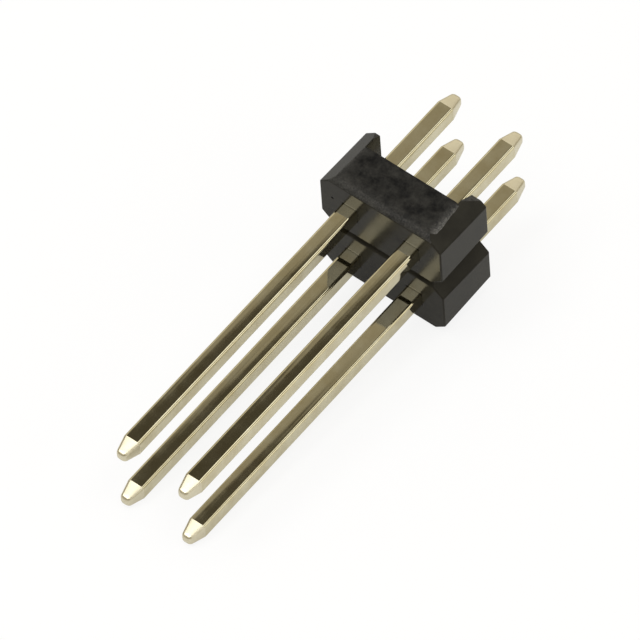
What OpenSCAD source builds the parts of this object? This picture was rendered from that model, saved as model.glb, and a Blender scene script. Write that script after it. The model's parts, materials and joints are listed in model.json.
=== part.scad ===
/* [Pins] */
// Spacing of the pins along the strip
pitch = 2.54; // [2:0.01:4]
// Spacing of the two rows of pins
row_pitch = 2.54; // [2:0.01:4]
// Side of the square pin
pin_w = 0.64; // [0.4:0.01:0.8]
// Radius of the rounded edges along a pin
pin_r = 0.1; // [0.02:0.01:0.15]
// Length of a pin above the mating face
mating_len = 12.05; // [6:0.1:20]
// Length of a pin below the feet
tail_len = 3.27; // [2:0.05:6]
// Length of the taper at each end of a pin
tip_len = 0.65; // [0.2:0.05:1.2]
// Side of the small square at the very end of a pin
tip_w = 0.36; // [0.15:0.01:0.38]

/* [Insulator] */
// Height from the board to the mating face
body_h = 2.46; // [1.5:0.01:4]
// Distance from a row of pins to the side face beside it
side_margin = 1.23; // [1:0.01:2]
// Height of the feet that stand on the board
foot_h = 0.74; // [0.3:0.01:1]
// Width of each foot
foot_w = 0.6; // [0.3:0.01:0.75]
// Chamfer round the mouth of each pin hole
lead_in = 0.06; // [0.02:0.01:0.15]
// Play between a pin and each wall of its hole, none for a press fit
pin_fit = 0; // [0:0.005:0.05]

/* [Break lines] */
// Mouth of a side notch at the mating face
notch_w = 0.97; // [0.3:0.01:1.2]
// Depth of a side notch at the mating face
notch_d = 0.55; // [0.2:0.01:0.6]
// Draft that deepens the side notches towards the feet, in degrees
notch_draft = 2.5; // [0:0.1:3]
// Width of the score across the mating face
score_w = 0.26; // [0.1:0.01:0.6]
// Depth of the score across the mating face
score_d = 0.16; // [0.05:0.01:0.5]
// How much of the thin end of a foot is snapped off, at the board
snap_len = 0.32; // [0.1:0.01:0.5]
// Slant of the snapped ends away from the board, in degrees
snap_slant = 30; // [10:1:45]
// How far the snap runs askew across the strip, in degrees
snap_skew = 2.3; // [0:0.1:3]

/* [Hidden] */
// The header is drawn as on a board: feet on z = 0, mating ends up, x across the rows
plastic_colour = "#2b2b2d";
plating_colour = "#cfc29a";
$fn = 32;
// How far a cutter runs past the surface it cuts
over = 0.5;
positions = 2;
body_l = positions * pitch;
body_w = row_pitch + 2 * side_margin;
channel_w = body_w - 2 * foot_w;
hole_w = pin_w + 2 * pin_fit;
mouth_w = hole_w + 2 * lead_in;
pin_top = body_h + mating_len;
// Places of the pins, row by row, and the planes where the strip breaks
pin_places = [for (y = [1, -1], x = [-1, 1]) [x * row_pitch / 2, y * pitch / 2]];
break_planes = [for (i = [0 : positions]) i * pitch - body_l / 2];
// Lying down, the header leans on the long tips and on the lower edge of its end face
end_edge_z = body_h - score_d;
lie_angle = atan((pitch - pin_w) / 2 / (pin_top - tip_len - end_edge_z));
lie_height = body_l / 2 * cos(lie_angle) + end_edge_z * sin(lie_angle);
lie_shift = (pin_top - tail_len) / 2 * cos(lie_angle);

// Lays a piece drawn as on a board down on the floor, centred over the origin
module at_rest() {
    translate([0, lie_shift, lie_height])
        rotate([90 + lie_angle, 0, 0])
            children();
}

// V-shaped cutter that runs along y, with its mouth on z = 0 and its edge below
module v_cutter(mouth, depth, length) {
    widened = mouth / 2 * (depth + over) / depth;
    rotate([90, 0, 0])
        linear_extrude(length, center = true)
            polygon([[0, -depth], [widened, over], [-widened, over]]);
}

// Pair of side notches on one break plane, deeper towards the feet by the draft
module side_notches(y) {
    for (side = [0, 1])
        mirror([side, 0, 0])
            translate([body_w / 2, y, body_h])
                rotate([0, notch_draft, 0])
                    rotate([90, 0, 90])
                        v_cutter(notch_w, notch_d, 2 * (body_h + over));
}

// Score across the mating face on one break plane
module score(y) {
    translate([0, y, body_h])
        rotate([0, 0, 90])
            v_cutter(score_w, score_d, body_w + 2 * over);
}

// Wedges that snap the thin ends off the feet at both ends of the strip
module foot_snaps() {
    reach = snap_len + over;
    for (end = [0, 1])
        mirror([0, end, 0])
            translate([0, body_l / 2 - snap_len, 0])
                rotate([90, 0, 90 - snap_skew])
                    linear_extrude(body_w + 2 * over, center = true)
                        polygon([
                            [-over * tan(snap_slant), -over],
                            [reach, -over],
                            [reach, reach / tan(snap_slant)]
                        ]);
}

// Square hole for a pin, with a chamfered mouth on the mating face
module pin_hole(place) {
    translate([place.x, place.y, -over])
        linear_extrude(body_h + 2 * over)
            square(hole_w, center = true);
    translate([place.x, place.y, body_h - lead_in])
        linear_extrude(lead_in, scale = mouth_w / hole_w)
            square(hole_w, center = true);
}

// Section of the drawn wire that the pins are cut from: a square with rounded corners
module wire_section() {
    core = pin_w - 2 * pin_r;
    square([pin_w, core], center = true);
    square([core, pin_w], center = true);
    for (x = [-1, 1], y = [-1, 1])
        translate([x, y] * core / 2)
            circle(pin_r);
}

// Side view that tapers both ends of the wire and stands clear of it in between
module taper_outline() {
    clear_x = pin_w - tip_w / 2;
    half = [
        [tip_w / 2, -tail_len],
        [clear_x, 2 * tip_len - tail_len],
        [clear_x, pin_top - 2 * tip_len],
        [tip_w / 2, pin_top]
    ];
    polygon(concat(half, [for (i = [3 : -1 : 0]) [-half[i].x, half[i].y]]));
}

// Square pin with four-sided tips: a length of wire, tapered from the side and from the front
module pin(place) {
    color(plating_colour)
        at_rest()
            translate(place)
                intersection() {
                    translate([0, 0, -tail_len - over])
                        linear_extrude(pin_top + tail_len + 2 * over)
                            wire_section();
                    rotate([90, 0, 0])
                        linear_extrude(2 * pin_w, center = true)
                            taper_outline();
                    rotate([90, 0, 90])
                        linear_extrude(2 * pin_w, center = true)
                            taper_outline();
                }
}

module insulator() {
    color(plastic_colour)
        at_rest()
            difference() {
                translate([-body_w / 2, -body_l / 2, 0])
                    cube([body_w, body_l, body_h]);
                translate([-channel_w / 2, -body_l / 2 - over, -over])
                    cube([channel_w, body_l + 2 * over, foot_h + over]);
                for (y = break_planes) {
                    side_notches(y);
                    score(y);
                }
                foot_snaps();
                for (place = pin_places)
                    pin_hole(place);
            }
}

module pin_1() { pin(pin_places[0]); }
module pin_2() { pin(pin_places[1]); }
module pin_3() { pin(pin_places[2]); }
module pin_4() { pin(pin_places[3]); }

insulator();
pin_1();
pin_2();
pin_3();
pin_4();
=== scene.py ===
"""Looks of a two-row pin header that lies on a pale floor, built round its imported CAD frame."""
import json
import math

import bmesh
import bpy
from mathutils import Matrix, Quaternion, Vector, noise


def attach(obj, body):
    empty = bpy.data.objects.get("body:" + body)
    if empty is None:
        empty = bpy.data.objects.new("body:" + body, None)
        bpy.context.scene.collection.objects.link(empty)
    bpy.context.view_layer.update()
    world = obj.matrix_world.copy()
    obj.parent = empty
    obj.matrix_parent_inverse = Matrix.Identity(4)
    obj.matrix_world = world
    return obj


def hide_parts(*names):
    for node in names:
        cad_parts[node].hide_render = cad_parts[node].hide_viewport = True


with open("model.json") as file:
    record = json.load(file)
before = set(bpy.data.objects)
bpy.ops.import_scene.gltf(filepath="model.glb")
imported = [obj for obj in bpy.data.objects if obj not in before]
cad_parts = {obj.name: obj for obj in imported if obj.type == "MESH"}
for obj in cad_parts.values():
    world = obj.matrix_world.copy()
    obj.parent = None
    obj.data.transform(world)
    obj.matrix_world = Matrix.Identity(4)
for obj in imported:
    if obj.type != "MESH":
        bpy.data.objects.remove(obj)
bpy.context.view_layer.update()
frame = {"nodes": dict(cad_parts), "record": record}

# Lengths in header space are millimetres: feet on z = 0, mating ends up, x across the rows
MM = 0.001
PINS = ("pin_1", "pin_2", "pin_3", "pin_4")

# Pins: rounded square wire with a taper and a rounded tip at each end
PIN_R = 0.1
TIP_LEN = 0.65
TIP_W = 0.36
TIP_ROUND = 0.12
# Largest corner radius of a pin, as a share of its half width there
CORNER_SHARE = 0.6
CORNER_STEPS = 5
# Depths from the end of a pin at which its section is drawn
SECTION_DEPTHS = (0, 0.01, 0.025, 0.05, 0.08, TIP_ROUND, 0.2, 0.35, 0.5, TIP_LEN)
# How far a pin is drawn inside its CAD square
PIN_EASE = 0.0005
# How far each pin sits turned in its hole, in degrees
PIN_TURNS = {"pin_1": 0, "pin_2": 0, "pin_3": 0, "pin_4": 0.6}

# Rounding of the moulding's edges
MOULD_EDGE = 0.05
SCORE_EDGE = 0.05
FRONT_EDGE = 0.08
BACK_EDGE = 0.02
ROUND_STEPS = 3
# Outer edges that turn by more than this, in degrees, are rounded
ROUND_ANGLE = 20
# Corners that turn by more than this, in degrees, and aren't rounded keep their crease
CREASE_ANGLE = 30
# Faces that turn by less than this, in degrees, are parts of one flat face
FLAT_ANGLE = 0.5
# Points closer than this are one point
WELD = 0.002
# Share of its length across the rows from which an edge runs along x
ALONG_SHARE = 0.9
# How far a score can reach below the mating face, and in from a broken end
SCORE_REACH = 0.3
HALF_SCORE_REACH = 0.25
# Normal of a half score: its part along the strip, from and to, and its least part upward
HALF_SCORE_ALONG = (0.2, 0.99)
HALF_SCORE_UP = 0.1
# Normal of a foot's snapped end: its least part along the strip, and its part towards the board
SNAP_ALONG = 0.8
SNAP_UP = -0.3
# Depth of the chamfer that still shows round a pressed-in pin
MOUTH_DEPTH = 0.003
# Small pit in the mating face: its place across and along the strip, its inner and outer radius
PIT_PLACE = (-1.98, 1.53)
PIT_RADII = (0.02, 0.07)

# Place of the torn material among the moulding's materials
TORN_SLOT = 1
# The ends where the header was broken from its strip: the side, the seed of the noise, and how
# far the rims at low and at high x are torn
TORN_ENDS = ((1, 3.0, {-1: 0.3, 1: 1.0}), (-1, 11.0, {-1: 0.8, 1: 0.5}))
# Grid of a torn end, the depth of its roughness, and how close to a cut a point lies on it
TORN_CELL = 0.06
TORN_DEPTH = 0.05
CUT_GAP = 1e-5
# Width of a torn rim, how far it is pulled into the notch, and the slope of the notch there
RIM_WIDTH = 0.3
RIM_DROP = 0.2
NOTCH_SLOPE = 0.88
# The tear of a rim starts this far below the mating face, and is full at twice that
RIM_FADE = 0.2
# Nearness to a rim, 1 at the rim itself, from which the outline of an end moves with it
RIM_HOLD = 0.6
# Points this close to the plane of a broken end move with its rims
END_REACH = 0.01
# Noise of the tear: the level, then bumps per millimetre and strength of each layer
DEPTH_LEVEL = 0.45
LUMP_SCALE, LUMP_DEPTH = 2.2, 0.4
GRAIN_SCALE, GRAIN_DEPTH = 7, 0.25
PULL_LEVEL = 0.7
WAVE_SCALE, WAVE_PULL = 2, 0.25
TOOTH_SCALE, TOOTH_PULL = 17, 0.08
TOOTH_SCALE_ACROSS = 6
# Shifts that keep the noise of the teeth from that of the waves, and one rim's from the other's
TOOTH_SHIFT = 5
HAND_SHIFT = 4
# How pale strained plastic is at the rims and on the snapped feet, and how pale the painted highlight
# along the front edges is
RIM_STRAIN = 1.5
SNAP_STRAIN = 0.3
FRONT_HIGHLIGHT = 0.22
# Depth below the mating face at which the painted highlight of the front edges has faded out
FRONT_HIGHLIGHT_FADE = 0.55
# How far the grain weakens and strengthens the paleness
SPECKLE = (0.6, 1.3)

# Colours as linear red, green and blue: pairs from the darkest to the palest, or single ones
PLATING = ((0.48, 0.425, 0.265), (0.58, 0.54, 0.38))
TIP_PLATING = ((0.57, 0.525, 0.385), (0.62, 0.58, 0.44))
MOULDING = ((0.014, 0.0135, 0.011), (0.024, 0.023, 0.0185))
# Painted shade in the small pit, which is only a bump: darkest at its middle
PIT_SHADE = ((0.002, 0.002, 0.002), (0.008, 0.008, 0.008))
TORN = ((0.001, 0.001, 0.001), (0.028, 0.027, 0.024))
# Pale strained plastic at the rims and feet, also used for the painted highlight along the front
# edges
STRAINED_AND_HIGHLIT = ((0.07, 0.07, 0.07), (0.17, 0.165, 0.15))
GLOSS_TINT = (1.0, 0.93, 0.78)
FLOOR_COLOUR = (0.9, 0.9, 0.89)
# Roughness: pairs from the smoothest to the roughest place, or the highest
PLATING_ROUGH = (0.04, 0.06)
TIP_ROUGH = 0.34
MOULDING_ROUGH = (0.16, 0.24)
PIT_ROUGH = 0.9
TORN_ROUGH = (0.5, 0.75)
# Scale of the drawn wire's marks along a pin, against that across it
DRAWN_STRETCH = 0.03
# Half the length over which the plating changes at the knee of a pin
KNEE_BLUR = 0.01

# Half the side of the floor in metres, and its share of plain white as seen and as mirrored
FLOOR_HALF = 4.0
SEEN_WHITE = 0.86
MIRRORED_WHITE = 0.47
# Turn of the overhead and accent lamps, in degrees, and colour of the light from the back panel
LAMP_TURN = 22
PANEL_LIGHT = (1.0, 0.92, 0.77)
# Light from all round: its colour, the two heights of a direction between which it changes, and
# its strengths at them
WORLD_LIGHT = (1.0, 0.9, 0.7)
WORLD_HEIGHTS = (0.45, 0.85)
WORLD_STRENGTHS = (0.5, 0.1)

# Camera, from the photograph's 640 by 640 frame
IMAGE_PX = 640
FOCAL_PX = 19035
SENSOR_MM = 36
CAMERA_AZIMUTH = 37.68
CAMERA_ELEVATION = 51.34
CAMERA_ROLL = 0.71
CAMERA_DISTANCE = 0.6206
CAMERA_AIM = Vector((-0.557, 0.594, 1.138)) * MM
CAMERA_CLIP = (0.01, 10)


def header_matrix(record):
    """Matrix from header space, in millimetres, to the row frame, in metres."""
    mount = next(m for m in record["mounts"] if m["name"] == "solder_tails")
    up = -Vector(mount["axis"]).normalized()
    across = Vector((1, 0, 0))
    turn = Matrix((across, up.cross(across), up)).transposed()
    return Matrix.Translation(mount["pos_m"]) @ turn.to_4x4() @ Matrix.Scale(MM, 4)


TO_ROW = header_matrix(frame["record"])
TO_HEADER = TO_ROW.inverted()


def header_box(node):
    """Lowest and highest corner of a CAD node in header space."""
    points = [TO_HEADER @ v.co for v in frame["nodes"][node].data.vertices]
    low = Vector(min(p[i] for p in points) for i in range(3))
    high = Vector(max(p[i] for p in points) for i in range(3))
    return low, high


BODY_LOW, BODY_HIGH = header_box("insulator")
PIN_BOXES = {name: header_box(name) for name in PINS}
PIN_W = PIN_BOXES["pin_1"][1].x - PIN_BOXES["pin_1"][0].x
TAIL_END = PIN_BOXES["pin_1"][0].z
MATING_END = PIN_BOXES["pin_1"][1].z
PIN_PLACES = {name: (low + high) / 2 for name, (low, high) in PIN_BOXES.items()}


# Node graph helpers; an owner is a material or a world

def new_material(name):
    """A node material and its Principled shader."""
    material = bpy.data.materials.new(name)
    material.use_nodes = True
    return material, material.node_tree.nodes["Principled BSDF"]


def add(owner, kind, inputs=None, **settings):
    """A new node with its settings and unlinked inputs set."""
    made = owner.node_tree.nodes.new(kind)
    for key, value in settings.items():
        setattr(made, key, value)
    for key, value in (inputs or {}).items():
        made.inputs[key].default_value = value
    return made


def link(owner, out, into):
    """Links an output to an input."""
    owner.node_tree.links.new(out, into)


def calculated(owner, operation, *values):
    """Output of a math node on values that are outputs or numbers."""
    made = add(owner, "ShaderNodeMath", operation=operation)
    for socket, value in zip(made.inputs, values):
        if isinstance(value, (int, float)):
            socket.default_value = value
        else:
            link(owner, value, socket)
    return made.outputs[0]


def height_of(owner, vector):
    """Output with the z of a vector."""
    split = add(owner, "ShaderNodeSeparateXYZ")
    link(owner, vector, split.inputs[0])
    return split.outputs["Z"]


def header_coordinates(material, stretch=(1, 1, 1)):
    """Output with header-space coordinates in millimetres, times stretch on each axis."""
    place = add(material, "ShaderNodeTexCoord")
    turn = add(material, "ShaderNodeMapping", vector_type="TEXTURE")
    location, rotation, _ = TO_ROW.decompose()
    turn.inputs["Location"].default_value = location
    turn.inputs["Rotation"].default_value = rotation.to_euler()
    turn.inputs["Scale"].default_value = [MM / s for s in stretch]
    link(material, place.outputs["Object"], turn.inputs["Vector"])
    return turn.outputs["Vector"]


def noise_value(material, vector, scale, detail, roughness=0.5):
    """Output of a noise texture, from 0 to 1."""
    made = add(material, "ShaderNodeTexNoise",
               {"Scale": scale, "Detail": detail, "Roughness": roughness})
    link(material, vector, made.inputs["Vector"])
    return made.outputs["Fac"]


def ramp(material, value, first, second, start=0.3, stop=0.7):
    """Output that runs from the first to the second colour as value goes from start to stop."""
    made = add(material, "ShaderNodeValToRGB")
    lower, upper = made.color_ramp.elements
    lower.position = start
    lower.color = (*first, 1)
    upper.position = stop
    upper.color = (*second, 1)
    link(material, value, made.inputs["Fac"])
    return made.outputs["Color"]


def spread(owner, value, low, high, start=0.3, stop=0.7):
    """Output that runs from low to high as value goes from start to stop."""
    made = add(owner, "ShaderNodeMapRange",
               {"From Min": start, "From Max": stop, "To Min": low, "To Max": high})
    link(owner, value, made.inputs["Value"])
    return made.outputs["Result"]


def blend(material, factor, first, second):
    """Output that mixes two colours by a factor."""
    made = add(material, "ShaderNodeMix", data_type="RGBA")
    link(material, factor, made.inputs["Factor"])
    link(material, first, made.inputs["A"])
    link(material, second, made.inputs["B"])
    return made.outputs["Result"]


def add_bump(material, shader, height, strength, depth):
    """Adds a layer of bumps, depth in millimetres, to those that the shader has."""
    normal = shader.inputs["Normal"]
    made = add(material, "ShaderNodeBump", {"Strength": strength, "Distance": depth * MM})
    link(material, height, made.inputs["Height"])
    if normal.is_linked:
        link(material, normal.links[0].from_socket, made.inputs["Normal"])
    link(material, made.outputs["Normal"], normal)


# Materials

def tip_share(material, place):
    """Output that is 1 on the tapered ends of the pins and 0 on their shanks."""
    middle = (TAIL_END + MATING_END) / 2
    offset = calculated(material, "SUBTRACT", height_of(material, place), middle)
    reach = calculated(material, "ABSOLUTE", offset)
    knee = (MATING_END - TAIL_END) / 2 - TIP_LEN
    return spread(material, reach, 0, 1, knee - KNEE_BLUR, knee + KNEE_BLUR)


def plating_material():
    """Bright pale gold plating over drawn wire, with faint lines, rub marks and satin ends."""
    material, shader = new_material("pin_plating")
    shader.inputs["Metallic"].default_value = 1.0
    place = header_coordinates(material)
    lengthwise = header_coordinates(material, (1, 1, DRAWN_STRETCH))
    patches = noise_value(material, place, scale=1.6, detail=4, roughness=0.6)
    waves = noise_value(material, lengthwise, scale=3, detail=2)
    lines = noise_value(material, lengthwise, scale=6, detail=0)
    tips = tip_share(material, place)
    shank_colour = ramp(material, patches, *PLATING)
    tip_colour = ramp(material, patches, *TIP_PLATING)
    link(material, blend(material, tips, shank_colour, tip_colour), shader.inputs["Base Color"])
    shank_rough = spread(material, patches, *PLATING_ROUGH)
    tip_rough = spread(material, tips, 0, TIP_ROUGH, start=0, stop=1)
    rough = calculated(material, "MAXIMUM", shank_rough, tip_rough)
    link(material, rough, shader.inputs["Roughness"])
    add_bump(material, shader, waves, strength=0.045, depth=0.04)
    add_bump(material, shader, lines, strength=0.025, depth=0.004)
    return material


def moulded_material():
    """Black satin moulding with a fine mould texture, faint clouds, and one small pit with painted
    shade.
    """
    material, shader = new_material("insulator_plastic")
    shader.inputs["Specular IOR Level"].default_value = 0.075
    shader.inputs["Specular Tint"].default_value = (*GLOSS_TINT, 1)
    place = header_coordinates(material)
    clouds = noise_value(material, place, scale=1.2, detail=4, roughness=0.6)
    grain = noise_value(material, place, scale=28, detail=3, roughness=0.6)
    pit = add(material, "ShaderNodeVectorMath", {1: (*PIT_PLACE, BODY_HIGH.z)}, operation="DISTANCE")
    link(material, place, pit.inputs[0])
    level = spread(material, pit.outputs["Value"], 0, 1, *PIT_RADII)
    # Painted shade: the pit is coloured darker towards its middle, as its hollow would be shaded
    pit_shade_colour = ramp(material, level, *PIT_SHADE, start=0, stop=0.6)
    clouded = ramp(material, clouds, *MOULDING)
    link(material, blend(material, level, pit_shade_colour, clouded), shader.inputs["Base Color"])
    pit_rough = spread(material, level, PIT_ROUGH, 0, start=0, stop=1)
    rough = calculated(material, "MAXIMUM", spread(material, clouds, *MOULDING_ROUGH), pit_rough)
    link(material, rough, shader.inputs["Roughness"])
    add_bump(material, shader, clouds, strength=0.08, depth=0.02)
    add_bump(material, shader, grain, strength=0.12, depth=0.004)
    add_bump(material, shader, level, strength=1.0, depth=0.12)
    return material


def torn_material():
    """Matt, mottled surface of the broken ends, paler where the plastic was strained and where a
    highlight is painted along the front edges.
    """
    material, shader = new_material("insulator_torn")
    shader.inputs["Specular IOR Level"].default_value = 0.12
    place = header_coordinates(material)
    mottle = noise_value(material, place, scale=3, detail=5, roughness=0.65)
    grain = noise_value(material, place, scale=16, detail=4, roughness=0.65)
    # Strain holds real whitening at the rims and feet, and a painted highlight near the front edges
    strain_and_highlight = add(material, "ShaderNodeAttribute", attribute_name="strain_and_highlight").outputs["Fac"]
    dark = ramp(material, mottle, *TORN, start=0.35, stop=0.68)
    pale = ramp(material, grain, *STRAINED_AND_HIGHLIT, start=0.3, stop=0.75)
    speckle = spread(material, grain, *SPECKLE, start=0.35, stop=0.65)
    streak = calculated(material, "MULTIPLY", strain_and_highlight, speckle)
    link(material, blend(material, streak, dark, pale), shader.inputs["Base Color"])
    link(material, spread(material, mottle, *TORN_ROUGH), shader.inputs["Roughness"])
    add_bump(material, shader, mottle, strength=0.3, depth=0.04)
    add_bump(material, shader, grain, strength=0.4, depth=0.012)
    return material


# Pieces

def close_node(bm, name, node, materials):
    """Turns a mesh in header space into a piece that stands for its CAD node."""
    bm.transform(TO_ROW)
    for face in bm.faces:
        face.smooth = True
    mesh = bpy.data.meshes.new(name)
    bm.to_mesh(mesh)
    bm.free()
    for material in materials:
        mesh.materials.append(material)
    piece = bpy.data.objects.new(name, mesh)
    bpy.context.scene.collection.objects.link(piece)
    flat = piece.modifiers.new("flat faces", "WEIGHTED_NORMAL")
    flat.keep_sharp = True
    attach(piece, "root")
    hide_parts(node)


def wire_ring(half, radius):
    """Points round a square of half side half with rounded corners."""
    points = []
    core = half - radius
    for corner, (x, y) in enumerate(((1, 1), (-1, 1), (-1, -1), (1, -1))):
        for step in range(CORNER_STEPS + 1):
            angle = math.radians(90 * (corner + step / CORNER_STEPS))
            points.append((x * core + radius * math.cos(angle), y * core + radius * math.sin(angle)))
    return points


def neighbours(ring):
    """Pairs of points that follow each other round a closed ring."""
    return zip(ring, ring[1:] + ring[:1])


def half_width(depth):
    """Half width of a pin at a depth from its end: rounded tip, taper, shank."""
    taper = TIP_W / 2 + (PIN_W - TIP_W) / 2 * depth / TIP_LEN
    half = min(taper, PIN_W / 2)
    if depth < TIP_ROUND:
        half -= TIP_ROUND - math.sqrt(TIP_ROUND ** 2 - (TIP_ROUND - depth) ** 2)
    return half


def make_pin(node, material):
    """A length of rounded square wire with a rounded four-sided taper at each end."""
    stations = [(TAIL_END + depth, depth) for depth in SECTION_DEPTHS]
    stations += [(MATING_END - depth, depth) for depth in reversed(SECTION_DEPTHS)]
    place = PIN_PLACES[node]
    angle = math.radians(PIN_TURNS[node])
    turn = Matrix.Rotation(angle, 2)
    # The second term is what the corners of a turned pin would stick out of its square
    slack = PIN_EASE + (PIN_W / 2 - PIN_R) * math.sin(abs(angle))
    bm = bmesh.new()
    rings = []
    for z, depth in stations:
        half = half_width(depth) - slack
        ring = [turn @ Vector(point) for point in wire_ring(half, min(PIN_R, half * CORNER_SHARE))]
        rings.append([bm.verts.new((place.x + x, place.y + y, z)) for x, y in ring])
    for lower, upper in zip(rings, rings[1:]):
        for (start, end), (start_above, end_above) in zip(neighbours(lower), neighbours(upper)):
            bm.faces.new((start, end, end_above, start_above))
    knees = [ring for ring, (_, depth) in zip(rings, stations) if depth == TIP_LEN]
    for ring in knees:
        for pair in neighbours(ring):
            bm.edges.get(pair).smooth = False
    bm.faces.new(list(reversed(rings[0])))
    bm.faces.new(rings[-1])
    close_node(bm, node + "_plated", node, [material])


def open_node(node):
    """A CAD node's mesh in header space, with its flat faces whole."""
    bm = bmesh.new()
    bm.from_mesh(frame["nodes"][node].data)
    bm.transform(TO_HEADER)
    bmesh.ops.remove_doubles(bm, verts=bm.verts, dist=WELD)
    flat = math.radians(FLAT_ANGLE)
    bmesh.ops.dissolve_limit(bm, angle_limit=flat, verts=bm.verts, edges=bm.edges)
    return bm


def on_end(point):
    """Whether a point lies on one of the two broken ends."""
    return min(abs(point.y - BODY_LOW.y), abs(point.y - BODY_HIGH.y)) < WELD


def is_torn(face):
    """Whether a face of the moulding is a broken end, or the snapped end of a foot."""
    snapped = abs(face.normal.y) > SNAP_ALONG and face.normal.z < SNAP_UP
    return snapped or all(on_end(v.co) for v in face.verts)


def in_pin_hole(point):
    """Whether a point belongs to the wall or mouth of a pin hole."""
    return any(abs(point.x - c.x) < PIN_W and abs(point.y - c.y) < PIN_W for c in PIN_PLACES.values())


def middle_of(edge):
    """Middle of an edge."""
    start, end = edge.verts
    return (start.co + end.co) / 2


def edge_width(edge):
    """How far an edge of the moulding is rounded, or 0 for one that stays sharp."""
    if not edge.is_manifold or edge.calc_face_angle_signed(0) < math.radians(ROUND_ANGLE):
        return 0
    middle = middle_of(edge)
    if in_pin_hole(middle):
        return 0
    start, end = edge.verts
    along_x = abs(start.co.x - end.co.x) > ALONG_SHARE * edge.calc_length()
    if along_x and middle.z > BODY_HIGH.z - SCORE_REACH:
        return SCORE_EDGE if abs(middle.y) < BODY_HIGH.y / 2 else FRONT_EDGE
    if any(f.material_index == TORN_SLOT for f in edge.link_faces):
        return BACK_EDGE if along_x else 0
    return MOULD_EDGE


def round_edges(bm):
    """Rounds the moulding's edges, each by its own width, and returns the new mesh."""
    weight = bm.edges.layers.float.new("bevel_weight_edge")
    for edge in bm.edges:
        edge[weight] = edge_width(edge) / FRONT_EDGE
    mesh = bpy.data.meshes.new("rounding")
    bm.to_mesh(mesh)
    bm.free()
    holder = bpy.data.objects.new("rounding", mesh)
    bpy.context.scene.collection.objects.link(holder)
    rounding = holder.modifiers.new("edges", "BEVEL")
    rounding.limit_method = "WEIGHT"
    rounding.width = FRONT_EDGE
    rounding.segments = ROUND_STEPS
    rounding.use_clamp_overlap = False
    rounded = bmesh.new()
    rounded.from_object(holder, bpy.context.evaluated_depsgraph_get())
    bpy.data.objects.remove(holder)
    bpy.data.meshes.remove(mesh)
    return rounded


def cut_into_cells(bm, faces):
    """Cuts torn faces by a square grid and returns the cells."""
    cells = set(faces)
    for axis in (Vector((1, 0, 0)), Vector((0, 0, 1))):
        low, high = BODY_LOW.dot(axis), BODY_HIGH.dot(axis)
        for i in range(1, int((high - low) / TORN_CELL)):
            edges = {e for f in cells for e in f.edges}
            verts = {v for f in cells for v in f.verts}
            made = bmesh.ops.bisect_plane(bm, geom=[*cells, *edges, *verts], dist=CUT_GAP,
                                          plane_co=axis * (low + i * TORN_CELL), plane_no=axis)
            cells.update(g for g in made["geom"] if isinstance(g, bmesh.types.BMFace))
            cells = {f for f in cells if f.is_valid}
    return cells


def unevenness(point, shift):
    """Depth of a torn end at a point, as a share of TORN_DEPTH: lumps and grain."""
    lumps = LUMP_DEPTH * noise.noise(point * LUMP_SCALE + shift)
    grain = GRAIN_DEPTH * noise.noise(point * GRAIN_SCALE + shift)
    return max(DEPTH_LEVEL + (lumps + grain), 0)


def raggedness(point, shift):
    """How strongly a rim is pulled at a point: slow waves along it and fine teeth."""
    along = Vector((0, 0, point.z * WAVE_SCALE))
    slanted = Vector((point.x * TOOTH_SCALE_ACROSS, TOOTH_SHIFT, point.z * TOOTH_SCALE))
    waves = WAVE_PULL * noise.noise(shift + along)
    teeth = TOOTH_PULL * noise.noise(shift + slanted)
    return max(PULL_LEVEL + waves + teeth, 0)


def tear_end(bm, side, seed, rims):
    """Roughens one broken end; rims gives how far the low and the high x rim are torn."""
    strain_and_highlight = bm.verts.layers.float["strain_and_highlight"]
    torn = [f for f in bm.faces
            if f.material_index == TORN_SLOT and f.calc_center_median().y * side > 0]
    cells = cut_into_cells(bm, torn)
    corners = {v for f in cells for v in f.verts}
    inside = {v for v in corners if all(f in cells for f in v.link_faces)}
    rim_x = max(abs(v.co.x) for v in corners if on_end(v.co))
    for vertex in corners:
        point = vertex.co.copy()
        whole = on_end(point)
        hand = 1 if point.x > 0 else -1
        shift = Vector((seed, 0, hand * HAND_SHIFT))
        near = max(0.0, 1 - (rim_x - abs(point.x)) / RIM_WIDTH)
        fade = min(1.0, max(0.0, (BODY_HIGH.z - RIM_FADE - point.z) / RIM_FADE))
        pull = rims[hand] * raggedness(point, shift)
        held = whole and vertex not in inside and near > RIM_HOLD
        if vertex in inside:
            vertex.co.y -= side * TORN_DEPTH * unevenness(point, shift) * (1 - near)
        if (vertex in inside or held) and abs(point.y) > BODY_HIGH.y - END_REACH:
            vertex.co.x += hand * RIM_DROP * pull * fade * near
            vertex.co.y -= side * RIM_DROP * pull * fade * near * NOTCH_SLOPE
        rim = min(1.0, RIM_STRAIN * pull * near ** 2) * (fade if whole else SNAP_STRAIN)
        # Painted highlight: plastic near the mating face is paler, standing in for light on the front
        # edge
        front_highlight = FRONT_HIGHLIGHT * max(0.0, 1 - (BODY_HIGH.z - point.z) / FRONT_HIGHLIGHT_FADE)
        vertex[strain_and_highlight] = max(rim, front_highlight)


def paint_front_edge_highlight(bm):
    """Paints a highlight on the half scores at the two ends, as paler plastic in the torn material.
    """
    strain_and_highlight = bm.verts.layers.float["strain_and_highlight"]
    bm.normal_update()
    least, most = HALF_SCORE_ALONG
    for face in bm.faces:
        middle = face.calc_center_median()
        by_end = abs(middle.y) > BODY_HIGH.y - HALF_SCORE_REACH
        by_front = middle.z > BODY_HIGH.z - SCORE_REACH
        slanted = least < abs(face.normal.y) < most and face.normal.z > HALF_SCORE_UP
        if by_end and by_front and slanted:
            face.material_index = TORN_SLOT
            for vertex in face.verts:
                vertex[strain_and_highlight] = max(vertex[strain_and_highlight], FRONT_HIGHLIGHT)


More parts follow.
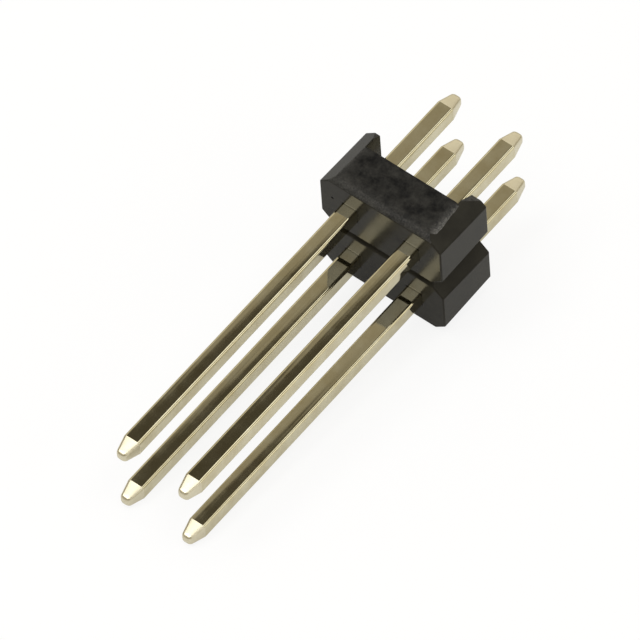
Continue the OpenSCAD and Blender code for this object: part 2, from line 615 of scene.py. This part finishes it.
def crease_corners(bm):
    """Keeps a crease where faces of the moulding meet in a corner that isn't rounded."""
    for edge in bm.edges:
        torn = all(f.material_index == TORN_SLOT for f in edge.link_faces)
        if edge.is_manifold and not torn and edge.calc_face_angle() > math.radians(CREASE_ANGLE):
            edge.smooth = False
        elif in_pin_hole(middle_of(edge)):
            edge.smooth = False


def make_insulator(materials):
    """The moulding: its CAD mesh with rounded edges, tight pin holes, torn ends and a painted
    highlight on its front edges.
    """
    bm = open_node("insulator")
    bm.verts.layers.float.new("strain_and_highlight")
    bm.normal_update()
    for face in bm.faces:
        face.material_index = TORN_SLOT if is_torn(face) else 0
    for vertex in bm.verts:
        if in_pin_hole(vertex.co) and vertex.co.z > BODY_HIGH.z / 2:
            vertex.co.z = max(vertex.co.z, BODY_HIGH.z - MOUTH_DEPTH)
    bm = round_edges(bm)
    for side, seed, rims in TORN_ENDS:
        tear_end(bm, side, seed, rims)
    # Painted highlight on the half scores at the ends
    paint_front_edge_highlight(bm)
    crease_corners(bm)
    close_node(bm, "insulator_moulding", "insulator", materials)


# Stage

def floor_material():
    """Pale paper that glows white to the camera and, less, in reflections: its shadows stay faint."""
    material, shader = new_material("floor_paper")
    shader.inputs["Base Color"].default_value = (*FLOOR_COLOUR, 1)
    shader.inputs["Roughness"].default_value = 0.9
    shader.inputs["Specular IOR Level"].default_value = 0.1
    rays = add(material, "ShaderNodeLightPath").outputs
    bent = calculated(material, "MAXIMUM", rays["Is Glossy Ray"], rays["Is Transmission Ray"])
    mirrored = calculated(material, "MULTIPLY", bent, MIRRORED_WHITE)
    seen = calculated(material, "MULTIPLY", rays["Is Camera Ray"], SEEN_WHITE)
    white = add(material, "ShaderNodeEmission", {"Color": (1, 1, 1, 1), "Strength": 1.0})
    mixed = add(material, "ShaderNodeMixShader")
    link(material, calculated(material, "MAXIMUM", seen, mirrored), mixed.inputs[0])
    link(material, shader.outputs[0], mixed.inputs[1])
    link(material, white.outputs[0], mixed.inputs[2])
    output = material.node_tree.nodes["Material Output"]
    link(material, mixed.outputs[0], output.inputs["Surface"])
    return material


def make_floor():
    """Square floor under the header."""
    mesh = bpy.data.meshes.new("floor")
    corners = [(x * FLOOR_HALF, y * FLOOR_HALF, 0) for x, y in ((-1, -1), (1, -1), (1, 1), (-1, 1))]
    mesh.from_pydata(corners, [], [(0, 1, 2, 3)])
    mesh.materials.append(floor_material())
    floor = bpy.data.objects.new("floor", mesh)
    bpy.context.scene.collection.objects.link(floor)


def make_softbox(name, place, size, radiance, aim=None, turn=0.0, colour=(1, 1, 1)):
    """Rectangular lamp at a place that faces a point, or straight down, turned on its axis."""
    lamp = bpy.data.lights.new(name, "AREA")
    lamp.shape = "RECTANGLE"
    lamp.size, lamp.size_y = size
    lamp.color = colour
    lamp.energy = radiance * math.pi * size[0] * size[1]
    holder = bpy.data.objects.new(name, lamp)
    holder.location = place
    holder.rotation_mode = "QUATERNION"
    spin = Quaternion((0, 0, 1), math.radians(turn))
    if aim:
        spin = (Vector(aim) - Vector(place)).to_track_quat("-Z", "Y") @ spin
    holder.rotation_quaternion = spin
    holder.visible_camera = False
    bpy.context.scene.collection.objects.link(holder)


def make_lamps():
    """Soft lamps above, behind and beside the header, in metres."""
    make_softbox("overhead", place=(-0.005, -0.042, 0.24), size=(0.3, 0.27), radiance=1.75,
                 turn=LAMP_TURN)
    make_softbox("accent", place=(-0.108, -0.125, 0.235), size=(0.12, 0.12), radiance=4.6,
                 turn=LAMP_TURN)
    make_softbox("tip_light", place=(-0.1, -0.0145, 0.238), size=(0.06, 0.06), radiance=0.75)
    make_softbox("back_panel", place=(-0.07, 0.24, 0.184), size=(0.46, 0.235), radiance=0.37,
                 aim=(0.066, 0.046, 0), colour=PANEL_LIGHT)
    make_softbox("back_glow", place=(-0.075, 0.247, 0.165), size=(0.46, 0.14), radiance=0.42,
                 aim=(0.066, 0.046, -0.015))
    make_softbox("fill", place=(0.33, 0.07, 0.18), size=(0.42, 0.2), radiance=1.3, aim=(0, 0, 0))


def make_world():
    """Warm light from all round, weaker from above than from the sides."""
    world = bpy.data.worlds.new("studio")
    world.use_nodes = True
    background = world.node_tree.nodes["Background"]
    background.inputs["Color"].default_value = (*WORLD_LIGHT, 1)
    direction = add(world, "ShaderNodeTexCoord").outputs["Generated"]
    glow = spread(world, height_of(world, direction), *WORLD_STRENGTHS, *WORLD_HEIGHTS)
    link(world, glow, background.inputs["Strength"])
    bpy.context.scene.world = world


def make_camera():
    """Camera at the photograph's viewing angle."""
    azimuth, elevation = math.radians(CAMERA_AZIMUTH), math.radians(CAMERA_ELEVATION)
    back = Vector((math.sin(azimuth) * math.cos(elevation),
                   -math.cos(azimuth) * math.cos(elevation),
                   math.sin(elevation)))
    lens = bpy.data.cameras.new("camera")
    lens.sensor_width = SENSOR_MM
    lens.lens = FOCAL_PX / IMAGE_PX * SENSOR_MM
    lens.clip_start, lens.clip_end = CAMERA_CLIP
    camera = bpy.data.objects.new("camera", lens)
    camera.location = CAMERA_AIM + back * CAMERA_DISTANCE
    camera.rotation_mode = "QUATERNION"
    level = (-back).to_track_quat("-Z", "Y")
    camera.rotation_quaternion = level @ Quaternion((0, 0, 1), math.radians(CAMERA_ROLL))
    bpy.context.scene.collection.objects.link(camera)
    bpy.context.scene.camera = camera


plating = plating_material()
for pin in PINS:
    make_pin(pin, plating)
make_insulator([moulded_material(), torn_material()])
make_floor()
make_lamps()
make_world()
make_camera()
bpy.context.scene.view_settings.view_transform = "Standard"
